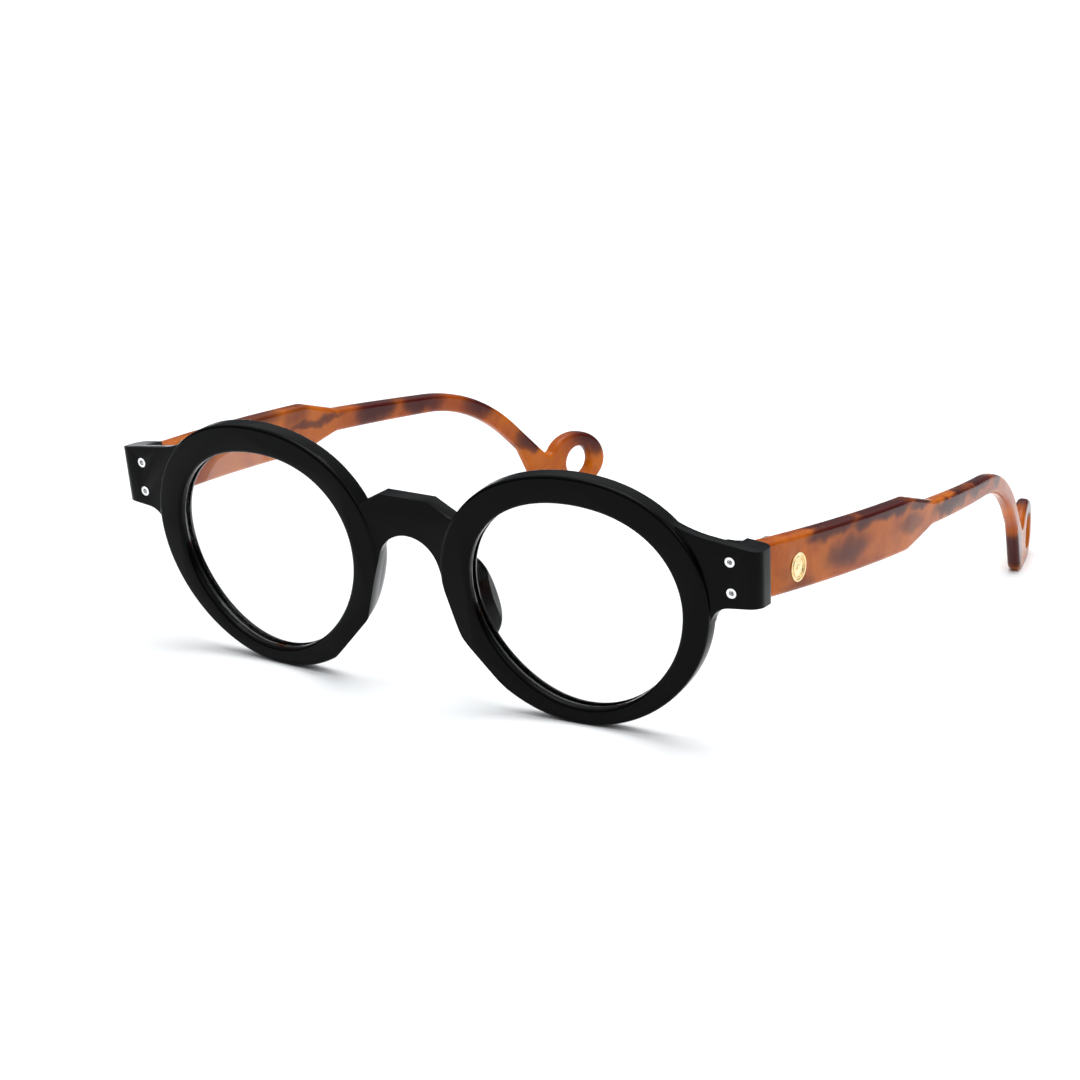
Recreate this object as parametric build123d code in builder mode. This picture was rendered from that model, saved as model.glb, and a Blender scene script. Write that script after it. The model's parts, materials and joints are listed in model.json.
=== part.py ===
# Round acetate spectacles with riveted five-knuckle hinges and looped temple tips.
# Millimetres. While it is modelled, +X is the wearer's left, +Y runs from the front to the
# temple tips, +Z is up, and the origin is on the bridge at lens-centre height. At the end
# every piece is moved so that the spectacles stand on Z = 0 with the origin under their middle.
import os
from math import asin, atan, cos, degrees, hypot, pi, radians, sin, sqrt, tan

from build123d import *

# Front, measured in its own plane
lens_width = 43.0  # opening of one rim
lens_height = 40.0
lens_shoulder = 0.6  # how far the upper corners swell beyond an oval
lens_lean = -0.2  # and the lower outer ones
lens_drop = 0.35  # middle of the opening below the line that the bridge is measured from
bridge_gap = 26.5  # between the two openings
rim_side = 5.7  # width of the rim beside the opening
rim_top = 5.5
rim_bottom = 3.35
rim_shoulder = 0.5
rim_lean = 0.1  # the outline is this much fuller up and out, and down and in
rim_shift = 0.35  # the rim's outline lies this much nearer the nose than the opening
rim_depth = 3.9
rim_edge = 0.7  # rounding of the rim's edges
step_round = 0.4  # hollow rounding where the rim stands above its bridge and end piece
tilt = 7.9  # the standing front leans back at its foot, degrees
wrap = 4.4  # each half turns back from the bridge, degrees

# Bridge and nose
bridge_inset = 1.1  # front face of the bridge behind the rims' foremost line
bridge_back = 4.2
crown_half = 5.3
crown_height = 16.0
notch_x = 9.9
notch_height = 13.5
arch_radius = 6.6
arch_height = 1.55  # centre of the arch over the nose
flank_angle = 16.5  # lean of the nose flanks, degrees
flank_foot = -10.6  # where the flank turns out along the cheek, at the front
flank_foot_rise = 1.8  # the cheek's line climbs this much to the back of the bridge
cheek_angle = 41.5
knee_round = 2.5  # between flank and cheek
flank_splay = 13.0  # the flanks open towards the face, degrees
pad_reach = 4.8  # nose pad behind the rim
pad_length = 18.5
pad_width = 3.2
pad_reach_x = 11.7  # middle of its root, along the front
pad_height = -3.2

# End pieces
end_inset = 1.2  # front face behind the rim's face
end_depth = 7.8  # back face, where the temple butts
end_reach = 71.6  # outer side, along the front
end_top = 14.0
end_foot = 3.2
end_corner = 2.2
lug_reach = 66.4  # the full-depth outer lug starts here
boss_reach = 60.5  # the hinge boss behind the end piece starts here
boss_height = 8.6
slab_lap = 0.2  # the end piece's front slab stops this much short of the rim's back

# Lenses
lens_thickness = 1.8
lens_curve = 125.0  # radius of the front surface
bevel_height = 0.6  # the lens edge stands this far into the rim's groove
bevel_width = 1.2
bevel_depth = 2.3  # middle of the groove behind the rim's face
lens_play = 0.05

# Hinges
hinge_height = 8.76  # middle of the hinge, up the front
knuckle_radius = 1.25
knuckle_count = 5
knuckle_gap = 0.12
hinge_length = 5.6
pin_stand = 1.4  # pin axis behind the end piece
pin_inboard = 1.7  # pin axis inboard of the temple's inner face
pin_radius = 0.6
pin_play = 0.05
screw_head_radius = 1.1
screw_head_height = 0.5
slot_width = 0.35
slot_depth = 0.25
leaf_thickness = 0.8
front_leaf_half = 2.6
front_leaf_height = 8.4
temple_leaf_length = 6.6
leaf_sink = 0.5  # the temple's leaf is let into it by this much

# Rivets
rivet_reach = 65.9
rivet_pitch = 5.96
rivet_radius = 0.6
rivet_head_radius = 0.95
rivet_head_depth = 0.45
rivet_proud = 0.12
rivet_bore = 0.5
rivet_bore_depth = 0.9
rivet_play = 0.02

# Temples. Side view: distance behind the hinge pin and height above the lens centres.
temple_thickness = 3.4  # where the bow is widest
temple_taper = 2.3  # the inner face's bow is centred this much further back
temple_bow = 300.0  # radius of the long outward bow, seen from above
bow_apex_x = 70.4
bow_apex_y = 58.0
butt_gap = 0.25
temple_front_top = 15.3
temple_front_foot = 4.6
broad_end = 63.5  # where the broad front part steps down
broad_top = 11.7
broad_foot = 1.5
slim_start = 74.5
slim_top = 8.6
slim_height = 4.8  # where the slim part starts
slim_end_height = 3.6  # where it bends over the ear
slim_slope = 5.0  # degrees down towards the ear
bend_at = 120.6  # corner of the top line over the ear
stem_slope = 42.3  # stem behind the ear
bend_radius = 45.0
broad_round = 6.0
slim_round = 8.0
temple_edge = 1.0
knee_at = 136.0  # the stem's front edge steepens here, down to the heel
knee_radius = 6.0
heel_at = 139.8
heel_radius = 3.0
loop_at = 150.0
loop_half_width = 8.0
loop_half_height = 6.5
loop_turn = -14.0
hole_at = 150.4
hole_drop = 0.4  # hole's centre below the loop's
hole_half_width = 3.3
hole_half_height = 3.5
notch_radius = 1.2

# Core wires
core_height = 1.4
core_thickness = 1.1
core_start_height = 9.2
core_end = 140.0
core_round = 60.0

# Badges
badge_at = 22.1
badge_height = 8.0
badge_half_width = 2.3
badge_half_height = 2.7
badge_sink = 0.35
badge_proud = 0.15
badge_ring = 0.35
badge_line = 0.12
badge_boss = 0.55

lens_x = (bridge_gap + lens_width) / 2
opening_samples = 24

up = Vector(0, -sin(radians(tilt)), cos(radians(tilt)))
back = Vector(0, cos(radians(tilt)), sin(radians(tilt)))
along = Vector(1, 0, 0) * cos(radians(wrap)) + back * sin(radians(wrap))

centre_plane = Plane(origin=(0, 0, 0), x_dir=(1, 0, 0), z_dir=back * -1)
rim_plane = Plane(origin=(0, 0, 0), x_dir=along, z_dir=along.cross(up))


def oval(half_width, half_height, shoulder, lean, centre_x, centre_y):
    # Points around an oval whose upper corners swell by `shoulder`, and which leans outwards.
    mean = (half_width + half_height) / 2
    swing = (half_width - half_height) / 2
    points = []
    for step in range(opening_samples):
        angle = 2 * pi * step / opening_samples
        radius = mean + swing * cos(2 * angle) + shoulder * sin(3 * angle) + lean * sin(2 * angle)
        points.append((centre_x + radius * cos(angle), centre_y + radius * sin(angle)))
    return points


def opening(grow=0.0):
    return oval(lens_width / 2 + grow, lens_height / 2 + grow, lens_shoulder, lens_lean, lens_x, -lens_drop)


def rim_outline():
    half_height = (lens_height + rim_top + rim_bottom) / 2
    rise = (rim_top - rim_bottom) / 2 + rim_shoulder - lens_shoulder - lens_drop
    half_width = lens_width / 2 + rim_side
    return oval(half_width, half_height, rim_shoulder, rim_lean, lens_x - rim_shift, rise)


def nose_sketch(depth):
    # Arch over the nose, leaning flanks and the cheeks below them, wider with depth.
    radius = arch_radius + depth * tan(radians(flank_splay))
    foot = flank_foot + flank_foot_rise * depth / bridge_back
    lean = radians(flank_angle)
    side = (radius * cos(lean), arch_height + radius * sin(lean))
    knee = (side[0] + (side[1] - foot) * tan(lean), foot)
    drop = lens_height
    cheek = (knee[0] + drop * tan(radians(cheek_angle)), foot - drop)
    with BuildSketch(centre_plane.offset(-depth)) as sketch:
        with BuildLine():
            ThreePointArc((-side[0], side[1]), (0, arch_height + radius), side)
            corners = (side, knee, cheek, (-cheek[0], cheek[1]), (-knee[0], knee[1]), (-side[0], side[1]))
            FilletPolyline(*corners, radius=knee_round)
        make_face()
    return sketch.sketch


# Rim: one raised ring, rounded on its front and back edges.
with BuildPart() as rim:
    with BuildSketch(rim_plane):
        with BuildLine():
            Spline(*rim_outline(), periodic=True)
        make_face()
        with BuildLine():
            Spline(*opening(), periodic=True)
        make_face(mode=Mode.SUBTRACT)
    extrude(amount=-rim_depth)
    fillet(rim.faces().filter_by(GeomType.PLANE).edges(), rim_edge)

# End piece: set back from the rim's face, with a deeper outer lug and hinge boss behind.
# Its top and underside run level to the back, not square to the leaning front.
rearward = rim_plane.z_dir * -1
level = Vector(rearward.X, rearward.Y, 0).normalized()
with BuildPart() as end_piece:
    with BuildSketch(rim_plane.offset(-end_inset)):
        with BuildLine():
            ThreePointArc((52.3, 19.0), (57.0, 16.7), (62.5, 15.4))
            Polyline((62.5, 15.4), (end_reach, end_top), (end_reach - 0.4, end_foot), (65.0, 2.7))
            ThreePointArc((65.0, 2.7), (62.8, 1.7), (61.4, -0.8))
            Polyline((61.4, -0.8), (58.6, 0), (52.3, 19.0))
        make_face()
    extrude(amount=(rim_depth - end_inset - slab_lap) / level.dot(rearward), dir=level)
    with BuildSketch(rim_plane.offset(-end_inset)):
        Polygon(
            (end_reach, end_top),
            (end_reach - 0.4, end_foot),
            (lug_reach, end_foot - 0.1),
            (lug_reach, end_top + 0.7),
            align=None,
        )
    extrude(amount=(end_depth - end_inset) / level.dot(rearward), dir=level)
    upright = end_piece.edges().filter_by(lambda edge: abs((edge % 0.5).dot(up)) > 0.95)
    outer = upright.sort_by(Axis((0, 0, 0), along))[-2:]
    fillet(outer, end_corner)
    with BuildSketch(Plane(origin=rim_plane.from_local_coords(Vector(0, hinge_height, 0)), x_dir=along, z_dir=up)):
        Polygon(
            (boss_reach, rim_depth - 0.5),
            (boss_reach + 2, end_depth),
            (lug_reach + 1, end_depth),
            (lug_reach + 1, rim_depth - 0.5),
            align=None,
        )
    extrude(amount=boss_height / 2, both=True)

# Bridge: half of it, with the raised crown between two notches.
with BuildPart() as bridge:
    with BuildSketch(centre_plane.offset(-bridge_inset)):
        Polygon(
            (0, crown_height),
            (crown_half, crown_height),
            (notch_x, notch_height),
            (12.5, notch_height - 1),
            (11.5, 3),
            (9, 1),
            (0, 1),
            align=None,
        )
    extrude(amount=bridge_inset - bridge_back)


# The temple bows outwards: both faces are arcs seen from above.
bow_x = bow_apex_x - temple_bow
outer_bow = temple_bow + temple_thickness / 2
inner_bow = temple_bow - temple_thickness / 2

# The pin stands `pin_inboard` inside the temple's inner face and `pin_stand` behind the end
# piece, so its reach along the front is where a line meets a circle.
pin_line = rim_plane.from_local_coords(Vector(0, hinge_height, -(end_depth + pin_stand)))
line_x = pin_line.X - bow_x
line_y = pin_line.Y - (bow_apex_y + temple_taper)
slope_a = along.X**2 + along.Y**2
slope_b = along.X * line_x + along.Y * line_y
slope_c = line_x**2 + line_y**2 - (inner_bow - pin_inboard) ** 2
pin_reach = (-slope_b + sqrt(slope_b**2 - slope_a * slope_c)) / slope_a
pin = rim_plane.from_local_coords(Vector(pin_reach, hinge_height, -(end_depth + pin_stand)))
hinge_plane = Plane(origin=pin, x_dir=along, z_dir=up)
outboard = Vector(pin.X - bow_x, pin.Y - bow_apex_y - temple_taper, 0).normalized()
outboard = (outboard - up * outboard.dot(up)).normalized()
leaf_plane = Plane(origin=pin, x_dir=outboard, z_dir=up)

knuckle_height = (hinge_length - (knuckle_count - 1) * knuckle_gap) / knuckle_count


def knuckle_foot(index):
    return index * (knuckle_height + knuckle_gap) - hinge_length / 2


# Front hinge leaf: a plate let into the end piece's back, with every other knuckle.
with BuildPart() as front_leaf:
    with BuildSketch(hinge_plane.offset(-front_leaf_height / 2)):
        with Locations((0, -pin_stand - leaf_thickness / 2)):
            Rectangle(2 * front_leaf_half, leaf_thickness)
    extrude(amount=front_leaf_height)
    plate = front_leaf.part
    for index in range(0, knuckle_count, 2):
        with BuildSketch(hinge_plane.offset(knuckle_foot(index))):
            Circle(knuckle_radius)
            with Locations((0, -pin_stand / 2)):
                Rectangle(1.6 * knuckle_radius, pin_stand)
        extrude(amount=knuckle_height)
    with BuildSketch(hinge_plane.offset(-hinge_length)):
        Circle(pin_radius + pin_play)
    extrude(amount=2 * hinge_length, mode=Mode.SUBTRACT)

# Temple hinge leaf: a plate let into the temple's inner face, with the knuckles between.
leaf_inner = pin_inboard + leaf_sink - leaf_thickness
with BuildPart() as temple_leaf:
    with BuildSketch(leaf_plane.offset(-hinge_length / 2)):
        with Locations((leaf_inner, -0.6)):
            Rectangle(leaf_thickness, temple_leaf_length, align=(Align.MIN, Align.MIN))
    extrude(amount=hinge_length)
    for index in range(1, knuckle_count, 2):
        with BuildSketch(leaf_plane.offset(knuckle_foot(index))):
            Circle(knuckle_radius)
            with Locations((0, -0.6)):
                Rectangle(leaf_inner, 1.7, align=(Align.MIN, Align.MIN))
        extrude(amount=knuckle_height)
    with BuildSketch(leaf_plane.offset(-hinge_length)):
        Circle(pin_radius + pin_play)
    extrude(amount=2 * hinge_length, mode=Mode.SUBTRACT)

# Hinge screw: slotted head on top, shank through all the knuckles.
with BuildPart() as screw:
    with BuildSketch(hinge_plane.offset(-hinge_length / 2)):
        Circle(pin_radius)
    extrude(amount=hinge_length)
    with BuildSketch(hinge_plane.offset(hinge_length / 2)):
        Circle(screw_head_radius)
    extrude(amount=screw_head_height)
    with BuildSketch(hinge_plane.offset(hinge_length / 2 + screw_head_height)):
        Rectangle(3 * screw_head_radius, slot_width)
    extrude(amount=-slot_depth, mode=Mode.SUBTRACT)


def rivet_profile(plane, play):
    # Shank from the end piece's face to the back of the leaf, with a wider head.
    with BuildPart() as body:
        with BuildSketch(plane.offset(rivet_proud)):
            Circle(rivet_head_radius + play)
        extrude(amount=-(rivet_proud + rivet_head_depth))
        with BuildSketch(plane):
            Circle(rivet_radius + play)
        extrude(amount=end_inset - end_depth)
    return body.part


rivets = []
rivet_holes = []
for step in (1, -1):
    foot = rim_plane.from_local_coords(Vector(rivet_reach, hinge_height + step * rivet_pitch / 2, -end_inset))
    rivet_plane = Plane(origin=foot, x_dir=along, z_dir=rim_plane.z_dir)
    rivet_holes.append(rivet_profile(rivet_plane, rivet_play))
    with BuildPart() as rivet:
        add(rivet_profile(rivet_plane, 0))
        with BuildSketch(rivet_plane.offset(rivet_proud)):
            Circle(rivet_bore)
        extrude(amount=-rivet_bore_depth, mode=Mode.SUBTRACT)
    rivets.append(rivet.part)

with BuildPart() as front_leaf_drilled:
    add(front_leaf.part)
    add(rivet_holes, mode=Mode.SUBTRACT)



def on_step(edge):
    # True where the rim's side meets the front of the bridge or of the end piece.
    middle = edge @ 0.5
    depths = [-rim_plane.to_local_coords(middle).Z - end_inset, -centre_plane.to_local_coords(middle).Z - bridge_inset]
    return min(abs(depth) for depth in depths) < 0.01


# One half of the front, then both.
with BuildPart() as half:
    add(rim.part)
    add(end_piece.part)
    add(bridge.part)
    steps = half.edges().filter_by(lambda edge: edge.geom_type == GeomType.BSPLINE and on_step(edge))
    fillet(steps, step_round)
    loft((nose_sketch(-1), nose_sketch(end_depth + 1)), mode=Mode.SUBTRACT)
    with BuildSketch(rim_plane.offset(bevel_width / 2 + lens_play - bevel_depth)):
        with BuildLine():
            Spline(*opening(bevel_height), periodic=True)
        make_face()
    extrude(amount=-(bevel_width + 2 * lens_play), mode=Mode.SUBTRACT)
    add(rivet_holes, mode=Mode.SUBTRACT)
    add(plate, mode=Mode.SUBTRACT)

with BuildPart() as front_frame:
    add(half.part)
    mirror(half.part, about=Plane.YZ)

# Lens: a curved shell with a tongue round its edge that sits in the rim's groove.
with BuildPart() as lens:
    with BuildSketch(rim_plane.offset(lens_thickness)):
        with BuildLine():
            Spline(*opening(-lens_play), periodic=True)
        make_face()
    extrude(amount=-(lens_thickness + rim_depth))
    edge_sag = (lens_width / 2) ** 2 / (2 * lens_curve)
    ball = bevel_depth - lens_thickness / 2 - edge_sag + lens_curve
    with Locations(rim_plane.from_local_coords(Vector(lens_x, -lens_drop, -ball))):
        Sphere(lens_curve, mode=Mode.INTERSECT)
        Sphere(lens_curve - lens_thickness, mode=Mode.SUBTRACT)
    with BuildSketch(rim_plane.offset(bevel_width / 2 - bevel_depth)):
        with BuildLine():
            Spline(*opening(bevel_height - lens_play), periodic=True)
        make_face()
        with BuildLine():
            Spline(*opening(-1), periodic=True)
        make_face(mode=Mode.SUBTRACT)
    extrude(amount=-bevel_width)

# Nose pad: a fin on the back of the rim that leans away from the nose.
with BuildPart() as nose_pad:
    for share, shrink, shift in ((0, 1.0, 0), (0.55, 0.86, 0.8), (0.9, 0.62, 1.4), (1, 0.36, 1.5)):
        with BuildSketch(rim_plane.offset(-rim_depth - share * pad_reach)):
            with Locations(Location((pad_reach_x + shift, pad_height - 0.4 * shift), flank_angle)):
                Ellipse(shrink * pad_width / 2, shrink * pad_length / 2)
    loft()


def line_meet(point, angle, other, other_angle):
    # Where two lines meet; angles in degrees, downwards positive.
    rise = -tan(radians(angle))
    other_rise = -tan(radians(other_angle))
    x = (other[1] - point[1] + rise * point[0] - other_rise * other[0]) / (rise - other_rise)
    return x, point[1] + rise * (x - point[0])


def lower(point, angle, distance):
    # The point `distance` below a sloping line, square to it.
    return point[0] - distance * sin(radians(angle)), point[1] - distance * cos(radians(angle))


def below_top(start_depth, bend_depth):
    # Start of the slim part and corner over the ear, for a line below the temple's top.
    start = lower((slim_start, slim_top), slim_slope, start_depth)
    fall = slim_slope - degrees(atan((start_depth - bend_depth) / (bend_at - slim_start)))
    return start, line_meet(start, fall, lower(bend_top, stem_slope, bend_depth), stem_slope)


def down_stem(y, depth):
    # The point on a line below the stem's top edge.
    return lower((y, bend_top[1] - (y - bend_at) * tan(radians(stem_slope))), stem_slope, depth)


foot_level = rim.part.bounding_box().min.Z
bend_top = (bend_at, slim_top - (bend_at - slim_start) * tan(radians(slim_slope)))
loop_sag = hypot(loop_half_width * sin(radians(loop_turn)), loop_half_height * cos(radians(loop_turn)))
loop_height = foot_level + loop_sag
loop_swing = (loop_half_width**2 - loop_half_height**2) * sin(radians(loop_turn)) * cos(radians(loop_turn))
loop_lowest = (loop_at - loop_swing / loop_sag, foot_level)
slim_foot, bend_foot = below_top(slim_height, slim_end_height)

# Temple outline, seen from the side.
with BuildSketch(Plane.YZ) as side_view:
    with BuildLine():
        top_line = FilletPolyline(
            (0, temple_front_top),
            (broad_end, broad_top),
            (slim_start, slim_top),
            bend_top,
            down_stem(loop_at, 0),
            radius=[broad_round, slim_round, bend_radius],
        )
        foot_line = FilletPolyline(
            (0, temple_front_foot),
            (broad_end - 1, broad_foot),
            slim_foot,
            bend_foot,
            down_stem(knee_at, slim_end_height),
            (heel_at, foot_level),
            loop_lowest,
            radius=[broad_round, slim_round, bend_radius - slim_end_height, knee_radius, heel_radius],
        )
        Line(top_line @ 0, foot_line @ 0)
        Line(top_line @ 1, foot_line @ 1)
    make_face()
    with Locations(Location((loop_at, loop_height), loop_turn)):
        Ellipse(loop_half_width, loop_half_height)
    notch = side_view.vertices().filter_by(lambda vertex: vertex.X < loop_at and vertex.Y > foot_level + 4)
    fillet(notch.sort_by(Axis.X)[-1], notch_radius)
    with Locations((hole_at, loop_height - hole_drop)):
        Ellipse(hole_half_width, hole_half_height, mode=Mode.SUBTRACT)


def bowed_band(outer_inset, inner_inset):
    # The part of the bow between two depths below the temple's outer face.
    share_out = outer_inset / temple_thickness
    share_in = inner_inset / temple_thickness
    with BuildPart() as band:
        with BuildSketch(Plane.XY.offset(-2 * lens_height)):
            with Locations((bow_x, bow_apex_y + share_out * temple_taper)):
                Circle(outer_bow - outer_inset)
            with Locations((bow_x, bow_apex_y + share_in * temple_taper)):
                Circle(outer_bow - inner_inset, mode=Mode.SUBTRACT)
        extrude(amount=4 * lens_height)
        split(bisect_by=Plane.YZ, keep=Keep.TOP)
        split(bisect_by=rim_plane.offset(-end_depth - butt_gap), keep=Keep.BOTTOM)
    return band.part


# Core wire: a flat steel strip through the middle of the temple into the stem.
core_middle = (slim_height + slim_end_height) / 4
with BuildPart() as core_wire:
    with BuildSketch(Plane.YZ):
        with BuildLine():
            edges = []
            for half_height in (-core_height / 2, core_height / 2):
                depth = core_middle + half_height
                start, corner = below_top(depth, depth)
                edges.append(
                    FilletPolyline(
                        (0, core_start_height - half_height),
                        start,
                        corner,
                        down_stem(core_end, depth),
                        radius=[core_round, bend_radius - depth],
                    )
                )
            Line(edges[0] @ 0, edges[1] @ 0)
            Line(edges[0] @ 1, edges[1] @ 1)
        make_face()
    extrude(amount=2 * bow_apex_x)
    middle = temple_thickness / 2
    add(bowed_band(middle - core_thickness / 2, middle + core_thickness / 2), mode=Mode.INTERSECT)

# Badge: an oval plaque with a raised border and a plain boss, let into the outer face.
badge_angle = asin((badge_at - bow_apex_y) / outer_bow)
outward = Vector(cos(badge_angle), sin(badge_angle), 0)
badge_foot = Vector(bow_x, bow_apex_y, badge_height) + outward * outer_bow
badge_plane = Plane(origin=badge_foot, x_dir=Vector(-outward.Y, outward.X, 0), z_dir=outward)
with BuildPart() as badge:
    with BuildSketch(badge_plane.offset(-badge_sink)):
        Ellipse(badge_half_width, badge_half_height)
    extrude(amount=badge_sink)
    badge_blank = badge.part
    for grow, line in ((0, badge_ring), (-2 * badge_ring, badge_line)):
        with BuildSketch(badge_plane):
            Ellipse(badge_half_width + grow, badge_half_height + grow)
            Ellipse(badge_half_width + grow - line, badge_half_height + grow - line, mode=Mode.SUBTRACT)
        extrude(amount=badge_proud)
    with BuildSketch(badge_plane):
        RegularPolygon(badge_boss, 4, rotation=45)
    extrude(amount=badge_proud)

# Temple: its side view cut from the bowed band, with rounded edges and seats let in.
with BuildPart() as temple:
    extrude(side_view.sketch, amount=2 * bow_apex_x)
    add(bowed_band(0, temple_thickness), mode=Mode.INTERSECT)
    butt = temple.faces().sort_by(Axis((0, 0, 0), rim_plane.z_dir))[-1]
    broad_faces = temple.faces().sort_by(SortBy.AREA)[-2:]
    rounded = [edge for edge in broad_faces.edges() if edge not in butt.edges()]
    fillet(rounded, temple_edge)
    add(core_wire.part, mode=Mode.SUBTRACT)
    add(temple_leaf.part, mode=Mode.SUBTRACT)
    add(badge_blank, mode=Mode.SUBTRACT)

os.makedirs("parts", exist_ok=True)
left_pieces = {
    "lens": lens.part,
    "nose_pad": nose_pad.part,
    "front_hinge_leaf": front_leaf_drilled.part,
    "temple_hinge_leaf": temple_leaf.part,
    "hinge_screw": screw.part,
    "front_rivet_upper": rivets[0],
    "front_rivet_lower": rivets[1],
    "temple": temple.part,
    "core_wire": core_wire.part,
    "badge": badge.part,
}
pieces = {"front_frame": front_frame.part}
for name, solid in left_pieces.items():
    pieces[name + "_left"] = solid
    pieces[name + "_right"] = mirror(solid, about=Plane.YZ)

# Stand the spectacles on Z = 0 with the origin under the middle of their box.
whole = Compound(children=[Compound(solid.wrapped) for solid in pieces.values()]).bounding_box()
stand = Pos(0, -(whole.min.Y + whole.max.Y) / 2, -whole.min.Z)
for name, solid in pieces.items():
    placed = stand * solid
    placed.label = name
    export_step(placed, f"parts/{name}.step")

print("shift", stand.position, "size", whole.size)
print("left pin", pin + stand.position, "axis", up)
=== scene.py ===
import json
import math

import bpy
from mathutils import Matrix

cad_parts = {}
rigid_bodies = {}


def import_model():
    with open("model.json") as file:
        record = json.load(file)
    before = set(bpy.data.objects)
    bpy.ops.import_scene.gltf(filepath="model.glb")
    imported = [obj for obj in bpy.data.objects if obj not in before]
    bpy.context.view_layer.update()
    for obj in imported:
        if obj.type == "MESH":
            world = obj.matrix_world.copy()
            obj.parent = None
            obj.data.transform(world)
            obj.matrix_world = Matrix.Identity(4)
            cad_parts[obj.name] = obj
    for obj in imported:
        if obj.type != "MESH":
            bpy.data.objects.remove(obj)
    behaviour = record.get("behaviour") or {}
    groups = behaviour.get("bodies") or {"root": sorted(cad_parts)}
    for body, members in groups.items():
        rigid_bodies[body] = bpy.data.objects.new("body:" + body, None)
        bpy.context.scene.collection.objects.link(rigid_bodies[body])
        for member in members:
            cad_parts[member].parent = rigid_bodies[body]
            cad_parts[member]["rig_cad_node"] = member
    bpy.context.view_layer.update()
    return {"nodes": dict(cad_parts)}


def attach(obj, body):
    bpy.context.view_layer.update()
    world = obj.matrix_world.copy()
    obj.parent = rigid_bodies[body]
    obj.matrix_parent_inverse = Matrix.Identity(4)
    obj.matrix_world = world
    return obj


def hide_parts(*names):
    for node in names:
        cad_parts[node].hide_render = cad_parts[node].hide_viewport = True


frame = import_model()
print("frame loaded")


class Wire:
    # one output of a shader node, so that sums on it read as sums
    def __init__(self, tree, socket=None):
        self.tree = tree
        self.socket = socket

    def make(self, kind, settings=None, sockets=None, out=0):
        node = self.tree.nodes.new(kind)
        for name, value in (settings or {}).items():
            setattr(node, name, value)
        for name, value in (sockets or {}).items():
            if isinstance(value, Wire):
                self.tree.links.new(value.socket, node.inputs[name])
            else:
                node.inputs[name].default_value = value
        return Wire(self.tree, node.outputs[out])

    def maths(self, operation, first, second):
        return self.make("ShaderNodeMath", {"operation": operation}, {0: first, 1: second})

    def __add__(self, other):
        return self.maths("ADD", self, other)

    def __radd__(self, other):
        return self.maths("ADD", other, self)

    def __sub__(self, other):
        return self.maths("SUBTRACT", self, other)

    def __rsub__(self, other):
        return self.maths("SUBTRACT", other, self)

    def __mul__(self, other):
        return self.maths("MULTIPLY", self, other)

    def __rmul__(self, other):
        return self.maths("MULTIPLY", other, self)

    def __truediv__(self, other):
        return self.maths("DIVIDE", self, other)

    def __rtruediv__(self, other):
        return self.maths("DIVIDE", other, self)

    def most(self, other):  # the larger of the two
        return self.maths("MAXIMUM", self, other)

    def step(self, low, high):  # 0 below low, 1 above high, and a soft step between
        settings = {"interpolation_type": "SMOOTHSTEP"}
        return self.make("ShaderNodeMapRange", settings, {"Value": self, "From Min": low, "From Max": high})

    def blend(self, first, second):  # the first colour where this is 0, the second where it is 1
        return self.make("ShaderNodeMix", {"data_type": "RGBA"}, {"Factor": self, 6: first, 7: second}, 2)


# a new material, its principled shader, and a wire that reads the place on the piece in metres
def newMaterial(name, **constants):
    material = bpy.data.materials.new(name)
    material.use_nodes = True
    shader = material.node_tree.nodes["Principled BSDF"]
    for socket, value in constants.items():
        shader.inputs[socket.replace("_", " ")].default_value = value
    place = Wire(material.node_tree).make("ShaderNodeTexCoord", out=3)
    return material, shader, place


def feed(material, shader, **wires):
    for socket, wire in wires.items():
        material.node_tree.links.new(wire.socket, shader.inputs[socket.replace("_", " ")])


# cloudy noise; its scale is in clouds to the metre
def grain(place, scale, detail=2.0, roughness=0.5, distortion=0.0):
    sockets = {"Vector": place, "Scale": scale, "Detail": detail}
    sockets.update({"Roughness": roughness, "Distortion": distortion})
    return place.make("ShaderNodeTexNoise", None, sockets)


# a roughness between low and high, as the noise goes from one end to the other
def rubbed(noise, low, high, ends):
    return low + (high - low) * noise.step(*ends)


# fine ripples of the surface
def rippled(place, ripples):
    noise = grain(place, ripples["scale"], ripples["detail"])
    sockets = {"Height": noise, "Strength": ripples["strength"], "Distance": ripples["height"]}
    return noise.make("ShaderNodeBump", None, sockets)


merging = {"weld": 2e-6, "flatWithin": math.radians(0.3)}


# a merged copy of a CAD node, ready to be finished, with the node hidden behind it
def mergedCopy(node, name, body):
    bpy.ops.object.select_all(action="DESELECT")
    source = frame["nodes"][node]
    source.select_set(True)
    bpy.context.view_layer.objects.active = source
    bpy.ops.object.duplicate()
    piece = bpy.context.active_object
    piece.name = name
    del piece["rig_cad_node"]
    bpy.ops.mesh.customdata_custom_splitnormals_clear()
    bpy.ops.object.mode_set(mode="EDIT")
    bpy.ops.mesh.select_all(action="SELECT")
    bpy.ops.mesh.remove_doubles(threshold=merging["weld"])
    bpy.ops.mesh.dissolve_limited(angle_limit=merging["flatWithin"])
    bpy.ops.object.mode_set(mode="OBJECT")
    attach(piece, body)
    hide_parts(node)
    return piece


# rounds the edges that turn by more than an angle, as far as their neighbours leave room
def roundEdges(piece, edge):
    bpy.ops.object.select_all(action="DESELECT")
    piece.select_set(True)
    bpy.context.view_layer.objects.active = piece
    bpy.ops.object.modifier_add(type="BEVEL")
    bevel = piece.modifiers[-1]
    bevel.width = edge["width"]
    bevel.segments = edge["segments"]
    bevel.limit_method = "ANGLE"
    bevel.angle_limit = math.radians(edge["turnsOver"])
    bevel.use_clamp_overlap = True
    bpy.ops.object.modifier_apply(modifier=bevel.name)
    bpy.ops.object.shade_smooth_by_angle(angle=math.radians(edge["smoothUnder"]))


def dress(piece, material):
    piece.data.materials.clear()
    piece.data.materials.append(material)


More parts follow.
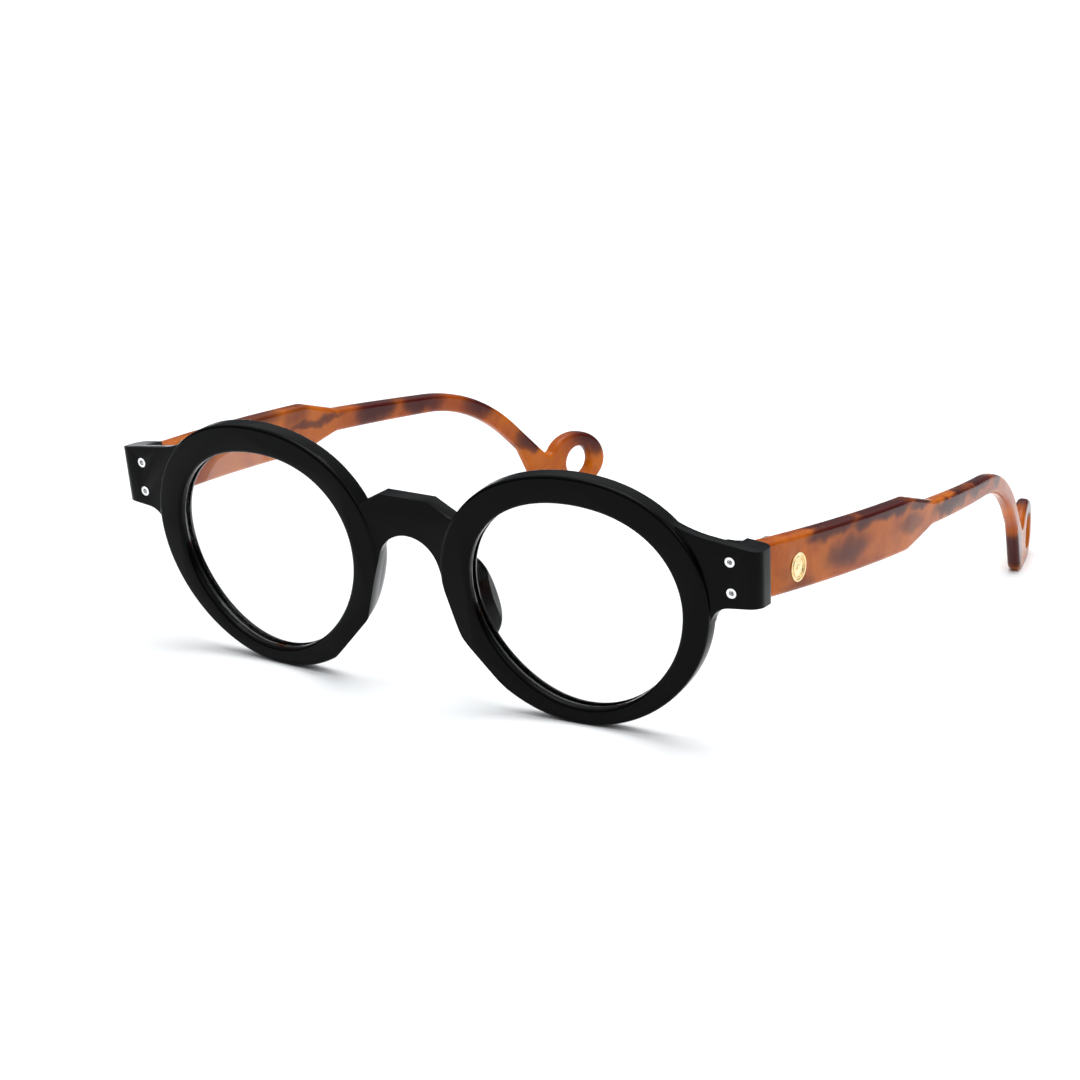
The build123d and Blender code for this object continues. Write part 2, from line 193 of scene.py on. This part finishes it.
# black polished acetate of the front
blackAcetate = {
    "colour": (0.0006, 0.0006, 0.0007, 1),
    "index": 1.49,
    "shine": 0.07,
    "roughness": (0.14, 0.24),
    "patches": {"scale": 90, "detail": 4},
    "patchEnds": (0.35, 0.7),
    "ripples": {"scale": 160, "detail": 2, "strength": 0.25, "height": 0.00004},
    "edge": {"width": 0.00025, "segments": 3, "turnsOver": 32, "smoothUnder": 35},
    "padEdge": {"width": 0.0001, "segments": 2, "turnsOver": 50, "smoothUnder": 50},
}


def blackMaterial():
    material, shader, place = newMaterial(
        "blackAcetate",
        Base_Color=blackAcetate["colour"],
        Specular_IOR_Level=blackAcetate["shine"],
        IOR=blackAcetate["index"],
    )
    low, high = blackAcetate["roughness"]
    patches = grain(place, **blackAcetate["patches"])
    feed(material, shader, Roughness=rubbed(patches, low, high, blackAcetate["patchEnds"]))
    feed(material, shader, Normal=rippled(place, blackAcetate["ripples"]))
    return material


polishedBlack = blackMaterial()
front = mergedCopy("front_frame", "frontAcetate", "front")
roundEdges(front, blackAcetate["edge"])
dress(front, polishedBlack)
for side in ("left", "right"):
    pad = mergedCopy("nose_pad_" + side, "nosePad." + side, "front")
    roundEdges(pad, blackAcetate["padEdge"])
    dress(pad, polishedBlack)
print("front finished")

# tortoise acetate of the temples: every blotch is its middle along and up, its half length and
# half height in millimetres, and its depth of colour
tortoise = {
    "amber": (0.30, 0.052, 0.0012, 1),
    "honey": (0.47, 0.112, 0.002, 1),
    "rose": (0.17, 0.018, 0.007, 1),
    "maroon": (0.052, 0.0022, 0.001, 1),
    "index": 1.49,
    "shine": 0.22,
    "translucency": 0.35,
    "glowDepth": 0.003,
    "glowColours": (1.0, 0.35, 0.12),
    "driftAlong": 9,  # millimetres from end to end by which the clouds move a blotch's outline
    "driftUp": 5,
    "driftAlongCloud": {"scale": 100, "detail": 1.5},
    "driftUpCloud": {"scale": 150},
    "blotchReach": 2.1,
    "blotchSoftness": 2.2,
    "ambers": {"scale": 65, "detail": 4, "roughness": 0.6, "distortion": 0.4},
    "amberEnds": (0.36, 0.66),
    "roses": {"scale": 42, "detail": 3, "roughness": 0.55},
    "roseEnds": (0.5, 0.72),
    "roseMost": 0.8,
    "flecks": {"scale": 130},
    "fleckRange": (0.8, 0.4),  # the blotch's strength at no noise, and what full noise adds
    "depthEnds": (0.05, 0.95),
    "patches": {"scale": 80, "detail": 4},
    "patchEnds": (0.3, 0.7),
    "roughness": (0.16, 0.26),
    "ripples": {"scale": 120, "detail": 2, "strength": 0.2, "height": 0.00005},
    "edge": {"width": 0.0004, "segments": 3, "turnsOver": 32, "smoothUnder": 35},
    "left": (
        (-43, 36.4, 9, 2.0, 0.95),
        (-26, 35.2, 12, 2.0, 1.0),
        (-10, 33.8, 6, 1.7, 0.85),
        (-39, 31.0, 8, 3.0, 0.75),
        (-15, 30.5, 6, 2.0, 0.6),
        (-56, 26.0, 6, 4.5, 0.55),
        (-58, 31.5, 5, 2.0, 0.35),
        (-9, 23.0, 4, 4.0, 0.6),
        (-30, 26.0, 9, 2.0, 0.3),
        (6, 29.2, 12, 1.8, 0.9),
        (23, 29.4, 9, 1.7, 0.9),
        (37, 27.4, 7, 1.5, 0.85),
        (14, 25.5, 16, 1.6, 0.45),
        (59, 5.0, 5, 5, 1.0),
        (74, 13.5, 6, 4.5, 1.0),
    ),
    "right": (
        (-33, 36.5, 9, 2.6, 0.75),
        (-18, 34.5, 6, 3.2, 0.55),
        (-13, 31.2, 11, 0.9, 0.7),
        (-50, 34.0, 6, 3.0, 0.4),
        (8, 30.5, 6.5, 3.8, 0.95),
        (24, 29.6, 7, 3.8, 0.95),
        (16, 31.5, 7, 1.8, 0.6),
        (42, 25.0, 6, 3.4, 0.85),
        (58, 14.5, 4.5, 3.2, 0.9),
        (77, 12.5, 6, 5, 1.0),
    ),
}


def tortoiseMaterial(side):
    material, shader, place = newMaterial(
        "tortoiseAcetate." + side,
        IOR=tortoise["index"],
        Specular_IOR_Level=tortoise["shine"],
        Subsurface_Weight=tortoise["translucency"],
        Subsurface_Radius=tortoise["glowColours"],
        Subsurface_Scale=tortoise["glowDepth"],
    )
    # the place in millimetres, moved about by the clouds
    placeAlong = place.make("ShaderNodeSeparateXYZ", None, {0: place}, 1) * 1000
    placeUp = place.make("ShaderNodeSeparateXYZ", None, {0: place}, 2) * 1000
    along = placeAlong + (grain(place, **tortoise["driftAlongCloud"]) - 0.5) * tortoise["driftAlong"]
    up = placeUp + (grain(place, **tortoise["driftUpCloud"]) - 0.5) * tortoise["driftUp"]
    dark = None
    for middle, height, length, tall, depth in tortoise[side]:
        aside = (along - middle) / length
        above = (up - height) / tall
        inside = tortoise["blotchReach"] - (aside * aside + above * above)
        spot = inside.step(0.0, tortoise["blotchSoftness"]) * depth
        dark = spot if dark is None else dark.most(spot)
    warm = grain(place, **tortoise["ambers"]).step(*tortoise["amberEnds"])
    ground = warm.blend(tortoise["amber"], tortoise["honey"])
    rosy = grain(place, **tortoise["roses"]).step(*tortoise["roseEnds"]) * tortoise["roseMost"]
    ground = rosy.blend(ground, tortoise["rose"])
    plain, more = tortoise["fleckRange"]
    depth = dark * (plain + more * grain(place, **tortoise["flecks"]))
    shade = depth.step(*tortoise["depthEnds"]).blend(ground, tortoise["maroon"])
    feed(material, shader, Base_Color=shade)
    low, high = tortoise["roughness"]
    patches = grain(place, **tortoise["patches"])
    feed(material, shader, Roughness=rubbed(patches, low, high, tortoise["patchEnds"]))
    feed(material, shader, Normal=rippled(place, tortoise["ripples"]))
    return material


for side in ("left", "right"):
    temple = mergedCopy("temple_" + side, "templeAcetate." + side, "temple_" + side)
    roundEdges(temple, tortoise["edge"])
    dress(temple, tortoiseMaterial(side))
print("temples finished")

# metal fittings
metals = {
    "hinge_steel": {
        "colour": (0.58, 0.57, 0.55, 1),
        "dull": (0.46, 0.45, 0.43, 1),
        "roughness": (0.2, 0.36),
    },
    "screw_steel": {
        "colour": (0.66, 0.65, 0.63, 1),
        "dull": (0.5, 0.49, 0.48, 1),
        "roughness": (0.15, 0.3),
    },
    "rivet_metal": {
        "colour": (0.86, 0.86, 0.86, 1),
        "dull": (0.66, 0.66, 0.67, 1),
        "roughness": (0.12, 0.26),
    },
    "core_steel": {
        "colour": (0.42, 0.4, 0.38, 1),
        "dull": (0.3, 0.29, 0.28, 1),
        "roughness": (0.3, 0.45),
    },
    "badge_metal": {
        "colour": (0.9, 0.74, 0.45, 1),
        "dull": (0.72, 0.54, 0.28, 1),
        "roughness": (0.18, 0.34),
    },
}
metalWear = {
    "dullPatches": {"scale": 900, "detail": 4, "roughness": 0.6},
    "dullEnds": (0.35, 0.7),
    "patches": {"scale": 1600, "detail": 3},
    "patchEnds": (0.3, 0.7),
    "ripples": {"scale": 2500, "detail": 3, "strength": 0.2, "height": 0.00001},
}


def metalMaterial(name):
    metal = metals[name]
    material, shader, place = newMaterial(name, Metallic=1.0)
    low, high = metal["roughness"]
    worn = grain(place, **metalWear["dullPatches"]).step(*metalWear["dullEnds"])
    patches = grain(place, **metalWear["patches"])
    feed(material, shader, Base_Color=worn.blend(metal["colour"], metal["dull"]))
    feed(material, shader, Roughness=rubbed(patches, low, high, metalWear["patchEnds"]))
    feed(material, shader, Normal=rippled(place, metalWear["ripples"]))
    return material


fittings = {
    "hinge_steel": ("front_hinge_leaf", "temple_hinge_leaf"),
    "screw_steel": ("hinge_screw",),
    "rivet_metal": ("front_rivet_upper", "front_rivet_lower"),
    "core_steel": ("core_wire",),
    "badge_metal": ("badge",),
}
for finish, names in fittings.items():
    metal = metalMaterial(finish)
    for name in names:
        for side in ("left", "right"):
            dress(frame["nodes"][name + "_" + side], metal)
print("fittings finished")

# clear lenses
lensGlass = {
    "tint": (0.996, 0.998, 0.998, 1),
    "glint": (1, 1, 1, 1),
    "shine": 0.08,
    "index": 1.45,
    "roughness": 0.02,
}


def lensMaterial():
    material = bpy.data.materials.new("lensGlass")
    material.use_nodes = True
    tree = material.node_tree
    tree.nodes.clear()
    start = Wire(tree)
    clear = start.make("ShaderNodeBsdfTransparent", None, {"Color": lensGlass["tint"]})
    gloss = {"Color": lensGlass["glint"], "Roughness": lensGlass["roughness"]}
    shine = start.make("ShaderNodeBsdfGlossy", None, gloss)
    edge = start.make("ShaderNodeFresnel", None, {"IOR": lensGlass["index"]}) * lensGlass["shine"]
    mixed = start.make("ShaderNodeMixShader", None, {0: edge, 1: clear, 2: shine})
    output = tree.nodes.new("ShaderNodeOutputMaterial")
    tree.links.new(mixed.socket, output.inputs["Surface"])
    return material


clearLens = lensMaterial()
for side in ("left", "right"):
    dress(frame["nodes"]["lens_" + side], clearLens)
print("lenses finished")

# floor, light and camera
studio = {
    "floor": (0.93, 0.935, 0.94, 1),
    "floorSize": 8,
    "floorShine": 0.1,
    "floorDust": {"scale": 40, "detail": 3},
    "floorRoughness": (0.75, 0.1),  # where there is no dust, and what the most dust adds
    "skyEnds": (0.2, 0.75),
    "horizon": (0.13, 0.14, 0.15, 1),
    "zenith": (0.95, 0.98, 1.0, 1),
    "lamps": (
        # place, aimed at, width, power
        ((0.05, 0.05, 1.5), (0.0, 0.0, 0.0), 1.1, 17),
        ((1.1, -0.3, 0.9), (0.0, 0.0, 0.02), 0.6, 2.5),
    ),
}
bpy.ops.object.select_all(action="DESELECT")
bpy.ops.mesh.primitive_plane_add(size=studio["floorSize"], location=(0, 0, 0))
floor = bpy.context.active_object
floor.name = "studioFloor"
floorMaterial, shader, place = newMaterial(
    "studioFloor",
    Base_Color=studio["floor"],
    Specular_IOR_Level=studio["floorShine"],
)
plain, more = studio["floorRoughness"]
feed(floorMaterial, shader, Roughness=plain + more * grain(place, **studio["floorDust"]))
dress(floor, floorMaterial)

world = bpy.data.worlds.new("studioSky")
bpy.context.scene.world = world
world.use_nodes = True
sky = world.node_tree.nodes["Background"]
direction = Wire(world.node_tree).make("ShaderNodeTexCoord", out=0)
height = direction.make("ShaderNodeSeparateXYZ", None, {0: direction}, 2)
glow = height.step(*studio["skyEnds"]).blend(studio["horizon"], studio["zenith"])
world.node_tree.links.new(glow.socket, sky.inputs["Color"])

for index, (place, target, width, power) in enumerate(studio["lamps"]):
    bpy.ops.object.light_add(type="AREA", location=place)
    lamp = bpy.context.active_object
    lamp.name = "softbox." + str(index)
    lamp.data.size = width
    lamp.data.energy = power
    toward = [b - a for a, b in zip(place, target)]
    flat = math.hypot(toward[0], toward[1])
    lamp.rotation_euler = (math.atan2(flat, -toward[2]), 0, math.atan2(-toward[0], toward[1]))

cameraView = {
    "place": (0.342218, -0.573786, 0.201172),
    "azimuth": 32.285,
    "elevation": 15.76,
    "lens": 112.95,
    "sensor": 36,
    "nearest": 0.01,
    "farthest": 50,
}
bpy.ops.object.camera_add(location=cameraView["place"])
camera = bpy.context.active_object
camera.name = "viewCamera"
camera.rotation_euler = (math.radians(90 - cameraView["elevation"]), 0, math.radians(cameraView["azimuth"]))
camera.data.sensor_width = cameraView["sensor"]
camera.data.lens = cameraView["lens"]
camera.data.clip_start = cameraView["nearest"]
camera.data.clip_end = cameraView["farthest"]
bpy.context.scene.camera = camera
bpy.context.scene.view_settings.view_transform = "Standard"
bpy.context.scene.view_settings.look = "None"
print("studio ready")
